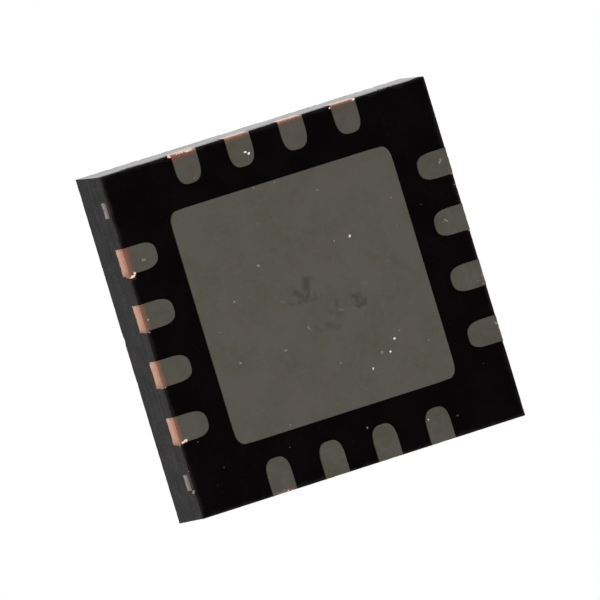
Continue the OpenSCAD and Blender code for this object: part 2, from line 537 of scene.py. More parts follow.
def sawnMaterial():
    material, shader, place, tint = mouldMaterial(
        "mouldSawnFace", **mouldLook["sawn"], Specular_IOR_Level=0.0095, Specular_Tint=(1, 0.985, 0.93, 1))
    axes = axesOf(place)
    low = times(smoothMask(axes["Z"], *mouldLook["shadeHeights"]), mouldLook["shadeShare"])
    tint = mixColor(low, tint, srgb(*mouldLook["shade"]))
    for smear in mouldLook["smears"]:
        tint = mixColor(strokeMask(place, *smear), tint, srgb(*mouldLook["smear"]))
    join(tint, shader.inputs["Base Color"])
    # the blade's lines run along the side, and make the gloss uneven
    lines = noiseAt(vectorCalc("MULTIPLY", place, mouldLook["bladeLines"]), 1.0, 4.0)[0]
    gloss = spread(lines, *mouldLook["bladeGloss"], first=0.3, last=0.7)
    ragged = times(minus(lines, 0.5), mouldLook["dullRagged"])
    across = plus(plus(axes["X"], ragged), times(axes["Z"], mouldLook["dullSlant"]))
    dull = smoothMask(across, *mouldLook["dullFrom"])
    onFront = calc("LESS_THAN", axes["Y"], -1.95)
    dull = times(dull, onFront)
    gloss = times(gloss, minus(1.0, times(onFront, mouldLook["calm"])))
    gloss = plus(gloss, times(dull, mouldLook["dull"]))
    torn = times(smoothMask(axes["Z"], *mouldLook["tornHeights"]), onFront)
    gloss = plus(gloss, times(torn, mouldLook["torn"]))
    join(gloss, shader.inputs["Roughness"])
    return material


underside = undersideMaterial()
sawnFace = sawnMaterial()
markingFace = mouldMaterial("mouldMarkingFace", **mouldLook["top"], Specular_IOR_Level=0.16)[0]
print("mould materials made")


plating = {
    "pad": ((81, 79, 68), (86, 82, 76), (90, 84, 81)),      # dull tin: olive, plain and purplish patches
    "land": ((76, 74, 65), (82, 79, 73), (89, 84, 79)),
    # fine pale specks on the tin: painted glints
    "paintedGlintSpecks": (112, 108, 102),
    "scratch": (122, 118, 112),
    "scratches": ((0.02, 0.64), (1.55, 0.64), (0.8, 0.67)), # turn in radians, and how rare they are
    "dirt": (40, 39, 35),
    "scuff": (142, 138, 130),
    "motes": (84, 60, 50),      # spots on bare copper
    "red": (138, 72, 64),       # and its tarnish by the corner between the -X and -Y sides
    "resin": (70, 62, 60),      # smeared over the tie bars' ends
    # bright speckles on the sawn ends: painted glints
    "endPaintedGlints": (206, 172, 152),
    "endPaintedHighlight": (186, 173, 166), # painted highlight on the half of a lead's end where the blade left it
    "endBrown": (150, 112, 88), # where it came in
    "endEdge": (104, 84, 76),   # both edges of the end
    "share": {                  # how strongly each of these shows
        "plum": 0.6, "paintedGlintSpecks": 0.12, "scratch": 0.12, "motes": 0.35, "red": 0.35, "resin": 0.6,
        "endPaintedGlints": 0.22, "endPaintedHighlight": 0.8, "endBrown": 0.45, "endEdge": 0.55,
    },
    "redFrom": (2.84, 3.05),    # distance towards that corner where the red begins and is full, -x - y
    "band": 0.088,              # width of the bare copper along the sawn edge of a land, mm
    "bandFrom": (1.5, 1.7),     # the bands are full on the -X and -Y sides, where the blade came out
    "bandElsewhere": 0.6,       # share of the width on the other two
    "bandByCorner": (1.1, 0.75),                # share by the corner between those sides, and away from it
}
copperEndWithPaintedHighlight = [                   # bare copper up a sawn end, from the land to the flange, its paler upper part a painted highlight
    (0.0, 132, 90, 70), (0.12, 148, 102, 82), (0.24, 166, 119, 98), (0.36, 176, 132, 112),
    (0.48, 181, 140, 121), (0.70, 187, 151, 132), (0.82, 180, 152, 136), (1.0, 150, 128, 115),
]
tieEnd = [                      # a tie bar's sawn end, half smeared over with resin
    (0.0, 54, 43, 39), (0.42, 62, 50, 46), (0.54, 72, 61, 57), (0.64, 98, 88, 83),
    (0.76, 138, 129, 124), (0.88, 132, 124, 119), (1.0, 108, 101, 97),
]
darkLip = [                     # worn copper on the -X lands, from the sawn edge inwards
    (0.0, 140, 98, 79), (0.22, 130, 95, 79), (0.4, 117, 90, 76), (0.65, 98, 82, 71),
    (1.0, 87, 79, 72),
]
lipWithPaintedHighlight = [                     # the same on the -Y lands, brighter by the edge: a painted highlight
    (0.0, 198, 164, 150), (0.1, 164, 130, 116), (0.24, 128, 99, 86), (0.45, 106, 84, 73),
    (1.0, 89, 80, 72),
]
farLip = [                      # and on the +X and +Y lands
    (0.0, 164, 132, 122), (0.4, 122, 98, 90), (1.0, 90, 80, 74),
]
smudges = [                     # dirt on the pad: two ends, width and strength
    ((-0.035, -0.200), (-0.058, -0.118), 0.074, 0.46), ((-0.033, -0.212), (0.007, -0.213), 0.024, 0.32),
    ((0.007, -0.213), (0.042, -0.205), 0.022, 0.28), ((0.042, -0.205), (0.064, -0.177), 0.020, 0.20),
    ((-0.046, -0.105), (-0.046, -0.063), 0.036, 0.40), ((-0.046, -0.063), (-0.101, 0.019), 0.034, 0.42),
    ((-0.205, -0.163), (-0.198, -0.108), 0.036, 0.16), ((-0.194, -0.104), (-0.148, -0.053), 0.062, 0.38),
    ((-0.148, -0.053), (-0.128, 0.005), 0.036, 0.34), ((-0.177, 0.020), (-0.170, 0.012), 0.036, 0.46),
    ((-0.128, 0.020), (-0.057, 0.027), 0.026, 0.24), ((-0.057, 0.027), (-0.001, 0.026), 0.024, 0.20),
    ((-0.192, 0.029), (-0.295, 0.005), 0.028, 0.22), ((0.022, -0.048), (0.015, 0.025), 0.034, 0.26),
    ((-0.067, -0.057), (-0.029, 0.018), 0.050, 0.12), ((0.445, 0.128), (0.487, 0.150), 0.042, 0.46),
    ((0.450, 0.128), (0.515, 0.121), 0.030, 0.30), ((0.484, 0.150), (0.470, 0.190), 0.038, 0.42),
    ((0.470, 0.190), (0.480, 0.245), 0.042, 0.30), ((0.448, 0.237), (0.551, 0.239), 0.038, 0.42),
    ((0.475, 0.248), (0.500, 0.248), 0.050, 0.48), ((0.562, 0.195), (0.556, 0.241), 0.044, 0.42),
    ((0.505, 0.165), (0.528, 0.212), 0.070, 0.26), ((0.237, 0.115), (0.222, 0.186), 0.040, 0.28),
    ((0.125, 0.227), (0.260, 0.267), 0.042, 0.16), ((0.205, 0.284), (0.225, 0.275), 0.034, 0.22),
    ((0.113, 0.188), (0.140, 0.220), 0.026, 0.16), ((0.053, 0.339), (0.172, 0.409), 0.060, 0.22),
    ((0.130, 0.345), (0.160, 0.360), 0.046, 0.14), ((0.529, 0.349), (0.497, 0.409), 0.024, 0.12),
    ((-0.080, 0.334), (-0.030, 0.390), 0.050, 0.14), ((-0.330, -0.640), (-0.270, -0.630), 0.034, 0.16),
    ((-0.480, 0.250), (-0.420, 0.240), 0.026, 0.12), ((0.640, -0.560), (0.650, -0.480), 0.030, 0.14),
]
scuffs = [                      # fine pale scratches on it, in the same way
    ((0.238, 0.222), (0.285, 0.238), 0.016, 0.20), ((0.321, 0.228), (0.512, 0.279), 0.012, 0.08),
    ((-0.385, -0.056), (-0.340, -0.042), 0.022, 0.16), ((0.590, 0.020), (0.640, 0.030), 0.034, 0.08),
]
wear = [                        # copper also shows by the edge in a few places on the +X and +Y lands
    ((-1.060, 1.940), (-0.920, 1.965), 0.085, 0.95), ((1.970, 0.300), (1.960, 0.440), 0.055, 0.60),
    ((1.960, 0.900), (1.975, 1.060), 0.040, 0.40), ((1.975, -0.860), (1.945, -0.820), 0.060, 0.40),
    ((1.975, -0.210), (1.950, -0.160), 0.060, 0.40),
]


def tinted(color, mask, name):
    # the colour with one of the plating's tones over it where the mask is
    return mixColor(times(mask, plating["share"][name]), color, srgb(*plating[name]))


def tinTint(place, tones, broad, small, fine, strokes):
    olive, plain, plum = (srgb(*tone) for tone in tones)
    tin = mixColor(broad["Mask"], olive, plain)
    tin = mixColor(times(small["Mask"], plating["share"]["plum"]), tin, plum)
    # fine pale specks: painted glints on the tin
    tin = tinted(tin, fine["Mask"], "paintedGlintSpecks")
    for turn, low in plating["scratches"]:
        drawn = useGroup(scratches, place, Turn=turn, Fine=42.0, Long=1.6, Low=low, High=low + 0.1)["Mask"]
        tin = tinted(tin, drawn, "scratch")
    if strokes:
        tin = mixColor(strokesMask(place, smudges), tin, srgb(*plating["dirt"]))
        for scuff in scuffs:
            tin = mixColor(strokeMask(place, *scuff), tin, srgb(*plating["scuff"]))
    return tin


def leadEndTint(end, axes, up, uneven, motes):
    # each end has a painted highlight on the half where the blade left it, high up, and is browner where it
    # came in
    onSide = smoothMask(minus(calc("ABSOLUTE", axes["X"]), calc("ABSOLUTE", axes["Y"])), -0.02, 0.02)
    spots = [calc("FRACT", calc("DIVIDE", minus(axes[axis], shift), lead["pitch"]))
             for axis, shift in zip("XY", package["shift"])]
    along = addNode(onSide.id_data, "Mix", {0: onSide, 2: spots[0], 3: spots[1]}).outputs[0]
    along = plus(along, times(uneven, 0.6))     # from 0 to 1 over one pitch, with the lead's middle at 0.5
    pale = times(smoothMask(along, 0.40, 0.30), plating["share"]["endPaintedHighlight"])
    brown = times(smoothMask(along, 0.60, 0.72), plating["share"]["endBrown"])
    # bright speckles: painted glints on the sawn end
    end = tinted(end, motes["Mask"], "endPaintedGlints")
    end = mixColor(times(pale, smoothMask(up, 0.3, 0.8)), end, srgb(*plating["endPaintedHighlight"]))
    end = mixColor(brown, end, srgb(*plating["endBrown"]))
    return tinted(end, smoothMask(calc("ABSOLUTE", minus(along, 0.5)), 0.185, 0.235), "endEdge")


def platedMaterial(name, tones, ends, onPad, edgeTint, endGloss, bump):
    material, shader, place = startMaterial(name, Specular_IOR_Level=0.2, Specular_Tint=edgeTint)
    axes = axesOf(place)
    height = axes["Z"]
    depth = useGroup(sawDepth, place)["Depth"]
    broad = useGroup(grain, place, Scale=2.3, Detail=4.0, Low=0.36, High=0.62)
    small = useGroup(grain, place, Scale=11.0, Detail=4.0, Low=0.42, High=0.7)
    fine = useGroup(grain, place, Scale=45.0, Detail=2.0, Low=0.5, High=0.75)
    tin = tinTint(place, tones, broad, small, fine, onPad)
    # bare copper where the blade came out: a ragged band on the land, and the whole sawn end
    left, front = (times(axes[axis], -1) for axis in "XY")
    worn = smoothMask(larger(left, front), *plating["bandFrom"])
    atFront = smoothMask(minus(front, left), -0.1, 0.1)
    corner = spread(plus(left, front), *plating["bandByCorner"], first=3.0, last=1.4)
    patchy = 0.0 if onPad else strokesMask(place, wear)
    ragged = useGroup(grain, place, Scale=22.0, Detail=4.0, Low=0.3, High=0.7)
    width = times(times(plus(ragged["Mask"], 1.7), plating["band"] * 0.46), corner)
    least = plating["bandElsewhere"]
    width = times(width, plus(times(worn, 1 - least), least))
    inward = calc("DIVIDE", depth, width)
    # the -Y lands' lip has a painted highlight by the edge
    lip = mixColor(atFront, ramp(inward, darkLip), ramp(inward, lipWithPaintedHighlight))
    lip = mixColor(worn, ramp(inward, farLip), lip)
    motes = useGroup(grain, place, Scale=40.0, Detail=3.0, Low=0.36, High=0.66)
    lip = tinted(lip, motes["Mask"], "motes")
    lip = tinted(lip, smoothMask(plus(left, front), *plating["redFrom"]), "red")
    onLip = times(smoothMask(inward, 1.35, 0.25), larger(worn, patchy))
    uneven = times(minus(ragged["Height"], 0.5), 0.3)
    up = plus(calc("DIVIDE", height, package["sheet"] + package["smear"]), uneven)
    end = ramp(up, ends)
    if onPad:
        end = tinted(end, smoothMask(ragged["Height"], 0.42, 0.6), "resin")
    else:
        end = leadEndTint(end, axes, up, uneven, motes)
    # the plating turns up the walls that stand clear of the mould
    onEnd = times(smoothMask(height, 0.004, 0.012), smoothMask(depth, 0.016, 0.009))
    onEnd = larger(onEnd, smoothMask(height, 0.021, 0.026))
    bare = mixColor(onEnd, lip, end)
    onCopper = larger(onLip, onEnd)
    join(mixColor(onCopper, tin, bare), shader.inputs["Base Color"])
    join(spread(onCopper, 0.55, 0.9), shader.inputs["Metallic"])
    gloss = spread(small["Height"], 0.38, 0.58)
    join(times(gloss, spread(onEnd, 1.0, endGloss)), shader.inputs["Roughness"])
    joinBump(shader, fine["Height"], bump)
    return material


lead = {
    "perSide": 4,
    "pitch": 0.65,
    "width": 0.3,
    "tip": 1.6,                 # inner end of the land, from the pattern's middle
    "endLength": 0.23,          # of the rounded part
    "endPower": 2.9,            # 2 is an ellipse, and more is squarer
    "flange": 0.04,             # half-etched flange round the inner end
    "neck": 0.12,               # plain length before the flange
    "edge": 0.008,              # rounding along the land's edges
    "relief": 0.004,            # unevenness of the sawn end
    "endReach": 0.012,          # how far in from the saw line that and the burr reach
    "sag": 0.0035,              # how far the land bulges down by its sawn edge
    "sagReach": 0.06,           # and how far in
    "hang": 0.004,              # how far the burr hangs down
    "uneven": 0.0006,           # unevenness of the land
    "proud": (1, 0.25, -0.9, -0.9),             # share of it that stands out from each side at the seat
    "proudAbove": 0.3,          # the least share higher up, where the blade smears the copper
    "proudFrom": 0.08,          # height from which that holds
    "burr": 0.012,              # how far dragged copper stands off the sawn side
    "drag": 0.035,              # how far it is dragged along the side
    # strength of both on single leads, and on all the others
    "burrs": {1: 1.0, 2: 0.55, 3: 0.8, 4: 1.25, 5: 0.5, 6: 0.3, 7: 0.35, 8: 0.6, 9: 0.15, 10: 0.15, 11: 0.15,
              12: 0.1},
    "usualBurr": 0.2,
    "smear": 0.048,             # how far its top edge is smeared up the side
    "smeared": {3: 0.75, 4: 0.7},               # share of that on single leads
    "wider": (0.003, 0.0, 0.003, -0.006),       # how much wider the lands of each side are
    # how much further in single lands reach, and how far their inner ends are etched to one side
    "longer": {5: 0.008, 6: 0.007, 7: 0.003, 8: 0.009, 15: 0.003, 16: 0.009, 13: -0.003},
    "leans": {4: -0.009, 5: 0.005, 6: 0.006, 7: 0.005, 8: -0.004, 10: -0.009, 12: -0.008, 13: 0.005},
}


def landOutline(wide, tip, root, grow, lean):
    # closed outline of one strip in the frame of the -X side, starting at its sawn corner
    half, nose = wide / 2, lead["endLength"]
    side = [(root + inward, half) for inward in (0, 0.006, 0.02, 0.05, 0.09)]
    neck = lead["neck"] - package["half"]
    side += [(neck - 0.006, half), (neck + 0.006, half + grow)]
    straight = tip + grow - nose - neck
    side += [(neck + 0.006 + (straight - 0.006) * k / 4, half + grow) for k in range(1, 4)]
    steps = 14
    curve = []
    for k in range(-steps, steps + 1):
        angle = math.pi / 2 * k / steps
        across = math.copysign(abs(math.sin(angle)) ** (2 / lead["endPower"]), angle) if k else 0
        ahead = max(math.cos(angle), 0) ** (2 / lead["endPower"])
        curve.append((tip + grow - nose + nose * ahead, across * (half + grow) + lean * ahead ** 2))
    lower = [(x, -y) for x, y in side]
    across = 22
    sawn = [(root, half - wide * k / across) for k in range(1, across)]
    return lower + curve + list(reversed(side)) + sawn


def towardsSpine(points, root, tip, wide, share):
    # the outline drawn in towards the strip's middle line
    low, high = root + wide / 2, tip - lead["endLength"] * 0.8
    drawn = []
    for x, y in points:
        middle = min(max(x, low), high)
        drawn.append((middle + (x - middle) * (1 - share), y * (1 - share)))
    return drawn


def leadPiece(number, asCutter=False):
    side, order = divmod(number - 1, lead["perSide"])
    shiftX, shiftY = sideShift(side)
    centre = ((lead["perSide"] - 1) / 2 - order) * lead["pitch"] + shiftY
    tip = shiftX - lead["tip"] + lead["longer"].get(number, 0)
    wide, edge = lead["width"] + lead["wider"][side], lead["edge"]
    proud, proudAbove = lead["proud"][side], lead["proudAbove"]
    smear = lead["smear"] * lead["smeared"].get(number, 1)
    spare = 0.06 if asCutter else 0

    def level(z, grow=0.0, inset=0.0):
        root = -sawnHalf(z) - spare
        points = landOutline(wide, tip, root, grow, lead["leans"].get(number, 0))
        if inset:
            points = towardsSpine(points, root, tip + grow, wide, inset / (wide / 2))
        return [(x, y, z) for x, y in points]

    loops = [level(0, inset=wide / 2 * s) for s in (0.94, 0.8, 0.65, 0.5, 0.38, 0.27, 0.18, 0.11)]
    if asCutter:
        loops.append(level(0))
    else:
        rounding = ((0, 1), (0.12, 0.5), (0.4, 0.12), (1, 0))
        loops += [level(edge * up, inset=edge * share) for up, share in rounding]
    loops += [level(z) for z in (0.02, 0.034, 0.048, 0.062, 0.076)]
    loops += [level(0.09), level(0.099, grow=0.008), level(0.103, grow=lead["flange"])]
    loops += [level(z, grow=lead["flange"]) for z in (0.118, 0.134, 0.15, 0.166, 0.182, 0.2)]
    loops += [level(0.2, grow=lead["flange"], inset=wide / 2 * s) for s in (0.3, 0.6, 0.9)]
    points, faces = loft(loops)
    made = meshPiece(f"leadShape{number:02d}", points, faces)
    drag = lead["burrs"].get(number, lead["usualBurr"])
    for vertex in made.data.vertices:
        x, y, z = vertex.co
        if not asCutter:
            seat = (x + side * 5, y + centre, z)
            inward = x + sawnHalf(z)                # distance in from the saw line
            onEnd = max(0.0, 1 - inward / lead["endReach"])
            stand = proud + max(0.0, proudAbove - proud) * min(1.0, z / lead["proudFrom"])
            x -= onEnd * lead["relief"] * stand * (0.6 + fineWaver(seat, 24, 1))
            # the blade drags a lip of copper along the side, most of it by the land
            way = 1 if side < 2 else -1
            lip = onEnd * drag * max(0.0, (way * y / wide + 0.5)) ** 6 * (1 - z / 0.26)
            lip *= 0.75 + 0.6 * waver(seat, 30, 2)
            y += lead["drag"] * lip * way
            x -= lead["burr"] * lip
            if inward < 0.003 and z > 0.19:
                z += smear * (1 + 0.45 * waver(seat, 22, 7))
            if z < 0.004:
                near = max(0.0, 1 - inward / lead["sagReach"])
                z -= lead["sag"] * near * max(0.0, 0.4 + fineWaver(seat, 18, 3)) + lead["hang"] * lip
                z += lead["uneven"] * fineWaver(seat, 8, 4)
        x, y = turned(side, x, y + centre)
        vertex.co = (x, y, z)
    return made


# copper keeps its red at a glancing angle, most of all where the -Y side is polished
landPlating = platedMaterial(
    "landPlating", plating["land"], copperEndWithPaintedHighlight, False, (1, 0.80, 0.72, 1), 0.65, 0.0015)
polishedPlating = platedMaterial(
    "polishedPlating", plating["land"], copperEndWithPaintedHighlight, False, (1, 0.66, 0.54, 1), 0.22, 0.0003)
print("plating of the leads made")


def makeLeads():
    for number in range(1, 4 * lead["perSide"] + 1):
        piece = leadPiece(number)
        piece.name = f"leadFinished{number:02d}"
        plated = polishedPlating if 5 <= number <= 8 else landPlating
        finishPiece(piece, [f"lead_{number:02d}"], [plated], 50)


makeLeads()
print("leads made")


pad = {
    "width": 2.7,
    "radius": 0.11,
    "rim": 0.05,                # half-etched rim round it
    "edge": 0.008,
    "long": 0.005,              # how much further it reaches along Y, each way
    "blunt": 0.013,             # how far its corners are drawn in, along each side
    "bluntFrom": (0.14, 0.076), # where that starts, in from the square's corner, and how soon it is full
    "tieWidth": 0.18,
    "tieInset": 0.4,            # middle of each tie-bar end, in from the corner
    "tieRelief": 0.003,         # unevenness of that end
    "uneven": 0.0008,           # and of the pad's face
}


def roundSquare(half, radius, z, flats=26, turns=10):
    points = []
    corner = half - radius
    for quarter in range(4):
        for k in range(flats):
            points.append((*turned(quarter, half, corner * (2 * k / flats - 1)), z))
        for k in range(turns):
            angle = math.pi / 2 * k / turns
            x, y = corner + radius * math.cos(angle), corner + radius * math.sin(angle)
            points.append((*turned(quarter, x, y), z))
    return points


def barPiece(name, stations, wide, low, high, endRelief):
    # a bar of rectangular section through stations (x, y, along x, along y), its last one the sawn end
    across, up = 14, 8
    section = [(wide * (k / across - 0.5), low) for k in range(across)]
    section += [(wide / 2, low + (high - low) * k / up) for k in range(up)]
    section += [(wide * (0.5 - k / across), high) for k in range(across)]
    section += [(-wide / 2, high - (high - low) * k / up) for k in range(up)]
    middle = (low + high) / 2
    loops = []
    whole = [(station, 1.0) for station in stations]
    # the sawn end is closed by smaller and smaller loops
    closing = [(stations[-1], 1 - share) for share in (0.12, 0.3, 0.55, 0.8)]
    for (x, y, alongX, alongY), size in whole + closing:
        loops.append([(x - alongY * s * size, y + alongX * s * size, middle + (z - middle) * size)
                      for s, z in section])
    points, faces = loft(loops)
    made = meshPiece(name, points, faces)
    for vertex in made.data.vertices:
        px, py, pz = vertex.co
        past = (px - x) * alongX + (py - y) * alongY
        if past > -0.001 and endRelief is not None:
            share = max(0.0, (pz - middle) / (high - middle))
            pz += package["smear"] * share * (1 + 0.5 * waver((px, py, pz), 14, 6))
            out = sawnHalf(pz) - package["half"] + endRelief * (0.4 + fineWaver((px, py, pz), 24, 5))
            vertex.co = (px + alongX * out, py + alongY * out, pz)
    return made


def padPiece(name, asCutter=False):
    half, radius, rim = pad["width"] / 2, pad["radius"], pad["rim"]
    sheet, shift = package["sheet"], package["shift"]
    spare, relief, edge = (0.06, None, 0) if asCutter else (0, pad["tieRelief"], pad["edge"])
    loops = [roundSquare(half - inset, radius - min(inset, 0.06), 0) for inset in (0.09, 0.05, 0.025)]
    if not asCutter:
        loops += [roundSquare(half - edge, radius - edge, 0),
                  roundSquare(half - edge * 0.5, radius - edge * 0.5, edge * 0.12),
                  roundSquare(half - edge * 0.12, radius, edge * 0.4)]
    loops += [roundSquare(half, radius, z) for z in (edge, 0.02, 0.09)]
    loops += [roundSquare(half + 0.008, radius, 0.099), roundSquare(half + rim, radius + rim, 0.103)]
    loops += [roundSquare(half + rim, radius + rim, sheet), roundSquare(half, radius, sheet)]
    points, faces = loft(loops)
    start, run = pad["bluntFrom"]
    for at, (x, y, z) in enumerate(points):
        cut = pad["blunt"] * min(1.0, max(0.0, (abs(x) + abs(y) - 2 * half + start) / run))
        longer = math.copysign(pad["long"] * min(1.0, abs(y)) - cut, y)
        points[at] = (x - math.copysign(cut, x), y + longer, z)
    made = meshPiece(name, points, faces)
    root = half - radius
    fork = package["half"] - pad["tieInset"]
    slant = math.sqrt(0.5)
    bars = []
    for quarter in range(4):
        diagonal = turned(quarter, slant, slant)
        begin, end = turned(quarter, root, root), turned(quarter, fork + 0.03, fork + 0.03)
        bars.append(barPiece("tieRoot", [(*begin, *diagonal), (*end, *diagonal)], pad["tieWidth"],
                             package["etched"] + 0.004, sheet - 0.002, None))
        for ahead in ((1, 0), (0, 1)):
            x, y = turned(quarter, fork, fork)
            alongX, alongY = turned(quarter, *ahead)
            # along the bar's own direction, the saw line as the pattern's frame sees it
            saw = package["half"] - (shift[0] * alongX + shift[1] * alongY) + spare
            stations = []
            for reach in (fork - pad["tieWidth"] / 2, saw - 0.1, saw - 0.05, saw - 0.02, saw - 0.006, saw):
                move = reach - fork
                stations.append((x + alongX * move, y + alongY * move, alongX, alongY))
            bars.append(barPiece("tieArm", stations, pad["tieWidth"], package["etched"], sheet, relief))
    combine(made, bars, "UNION")
    for vertex in made.data.vertices:
        vertex.co.x += shift[0]
        vertex.co.y += shift[1]
        if vertex.co.z < 0.004 and not asCutter:
            vertex.co.z += pad["uneven"] * fineWaver(vertex.co, 6, 6)
    return made


padPlating = platedMaterial("padPlating", plating["pad"], tieEnd, True, (1, 1, 1, 1), 0.65, 0.0015)
finishPiece(padPiece("padFinished"), ["die_pad"], [padPlating], 50)
print("pad and tie bars made")


mould = {
    "perSide": 380,             # points along each side
    "chip": 0.010,              # usual chip along a sawn edge
    "bigChip": 0.06,            # the largest ones
    "leastChip": 0.0015,
    "cleanLow": 0.2,            # share of them on the lower edges of the +X and +Y sides
    "cleanHigh": 0.5,           # and on the upper edge of the -X side
    "nicks": [                  # places where the lower edge is broken back: x, y, half length, size
        (-1.975, -1.575, 0.17, 0.026), (-1.975, 1.600, 0.15, 0.022), (-1.975, -0.700, 0.08, 0.012),
        (-1.975, 0.640, 0.10, 0.010), (-1.400, -1.975, 0.12, 0.012), (1.560, -1.975, 0.12, 0.010),
    ],
    "groove": 0.0016,           # depth of the saw's lines
    "wave": 0.0025,             # slow unevenness of the sawn faces
    "rough": 0.0012,            # and fine unevenness
    "back": 0.0015,             # how far those faces stand back for both
    "steps": (0.003, 0.007, 0.013, 0.022, 0.034, 0.052, 0.08, 0.12),   # rows of points in from each sawn edge
    "markRadius": 0.2,
    "markDepth": 0.03,
    "markPlace": (-1.425, 1.425),
}


def ring(z, inset):
    half = sawnHalf(z) - inset
    points = []
    for quarter in range(4):
        for k in range(mould["perSide"]):
            points.append((*turned(quarter, half, half * (2 * k / mould["perSide"] - 1)), z))
    return points


def chipAt(x, y, low):
    # size of the chip along an edge there: small everywhere and large in a few places
    seed = 11 if low else 12
    small = mould["chip"] * (0.8 + 0.9 * waver((x, y, 0), 14, seed) + 0.7 * waver((x, y, 0), 45, seed))
    large = mould["bigChip"] * max(0.0, waver((x, y, 0), 5.5, seed + 2) - 0.30) * 1.5
    size = max(mould["leastChip"], small + large)
    if low:
        if max(-x, -y) < max(x, y):
            size *= mould["cleanLow"]
        for nickX, nickY, reach, depth in mould["nicks"]:
            away = math.hypot(x - nickX, y - nickY) / reach
            if away < 1:
                size = max(size, depth * min(1, 3 * (1 - away)) * (1 + 0.5 * waver((x, y, 0), 30, 15)))
    elif -x > min(abs(y), 1.6):
        size *= mould["cleanHigh"]
    return size


def mouldPiece():
    low, high, steps = package["standoff"], package["height"], mould["steps"]
    loops = [ring(low, inset) for inset in (*reversed(steps), 0)]
    heights = [low + 0.003, low + 0.007, low + 0.013, low + 0.022, low + 0.036]
    z = low + 0.055
    while z < high - 0.05:
        heights.append(z)
        z += 0.034
    heights += [high - 0.036, high - 0.022, high - 0.013, high - 0.007, high - 0.003]
    loops += [ring(z, 0) for z in heights]
    loops += [ring(high, inset) for inset in (0, *steps)]
    points, faces = loft(loops)
    shaped = []
    for x, y, z in points:
        reach = max(abs(x), abs(y))
        inset = sawnHalf(z) - reach
        cutX, cutY = (1 if abs(value) > reach - 1e-5 else 0 for value in (x, y))
        inward = 0.0
        if inset < 0.03 and low + 0.01 < z < high - 0.01:
            # saw lines run along the side, on a slow wave
            line = mould["groove"] * noise.noise(Vector((x * 1.2, y * 1.2, z * 60)))
            slow = mould["wave"] * waver((x, y, z), 2.5, 8) + mould["rough"] * fineWaver((x, y, z), 30, 9)
            inward = mould["back"] + line + slow
        for fromLow, rise in ((True, z - low), (False, high - z)):
            gap = chipAt(x, y, fromLow) - inset - rise
            if gap > 0:
                rough = 0.5 + 0.25 * fineWaver((x, y, z), 60, 10)
                inward += gap * rough
                z += gap * rough * (1 if fromLow else -1)
        x -= math.copysign(inward, x) * cutX
        y -= math.copysign(inward, y) * cutY
        shaped.append((x, y, z))
    return meshPiece("mouldShape", shaped, faces, weld=1e-5)


def markCutter():
    # the round index mark: a shallow dish with a soft rim
    turns, radius = 72, mould["markRadius"]
    middleX, middleY = mould["markPlace"]
    high = package["height"]
    bed = high - mould["markDepth"]
    profile = [(radius + 0.02, high + 0.02), (radius + 0.012, high + 0.001), (radius + 0.004, high - 0.002),
               (radius, high - 0.006), (radius - 0.002, bed + 0.006), (radius - 0.007, bed + 0.0015),
               (radius - 0.014, bed), (radius * 0.6, bed - 0.0006), (radius * 0.25, bed)]
    angles = [2 * math.pi * k / turns for k in range(turns)]
    loops = [[(middleX + r * math.cos(angle), middleY + r * math.sin(angle), z) for angle in angles]
             for r, z in profile]
    return meshPiece("markCutter", *loft(loops))


def boxCutter(node):
    low, high = (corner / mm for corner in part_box(node))
    loops = []
    for z in (low.z - 0.001, high.z):
        loops.append([(low.x, low.y, z), (high.x, low.y, z), (high.x, high.y, z), (low.x, high.y, z)])
    return meshPiece("boxCutter", *loft(loops))


def makeMould():
    body = mouldPiece()
    cutters = [leadPiece(number, True) for number in range(1, 4 * lead["perSide"] + 1)]
    cutters += [padPiece("padCutter", True), boxCutter("die_attach"), boxCutter("die"), markCutter()]
    combine(body, cutters, "DIFFERENCE")
    body.name = "mouldFinished"
    finishPiece(body, ["mould_body"], [underside, sawnFace, markingFace], 32)
    for face in body.data.polygons:
        place = face.center / mm
        inset = sawnHalf(place.z) - max(abs(place.x), abs(place.y))
        if abs(face.normal.z) < 0.85 and inset < 0.08:
            face.material_index = 1
        elif place.z > 0.7:
            face.material_index = 2
        else:
            face.material_index = 0


makeMould()
print("mould made")


inside = {                      # the sealed pieces: two tones, roughness, metal and how fine the tones are
    "silicon": ((52, 56, 66), (78, 84, 96), 0.22, 0.85, 9.0),
    "adhesive": ((150, 146, 138), (186, 184, 178), 0.6, 0.5, 30.0),
    "gold": ((236, 188, 92), (252, 222, 150), 0.25, 1.0, 40.0),
}


def insideMaterial(name, low, high, roughness, metal, scale):
    material, shader, place = startMaterial(name, Metallic=metal)
    patches = useGroup(grain, place, Scale=scale, Detail=3.0, Low=0.35, High=0.65)
    join(mixColor(patches["Mask"], srgb(*low), srgb(*high)), shader.inputs["Base Color"])
    join(spread(patches["Height"], roughness * 0.8, roughness * 1.2), shader.inputs["Roughness"])
    joinBump(shader, patches["Height"], 0.001)
    return material


def finishInside():
    looks = {name: insideMaterial(name, *values) for name, values in inside.items()}
    for name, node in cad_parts.items():
        if not node.hide_render:
            look = looks["silicon" if name == "die" else "adhesive" if name == "die_attach" else "gold"]
            for slot in node.material_slots:
                slot.material = look


finishInside()
print("sealed pieces finished")


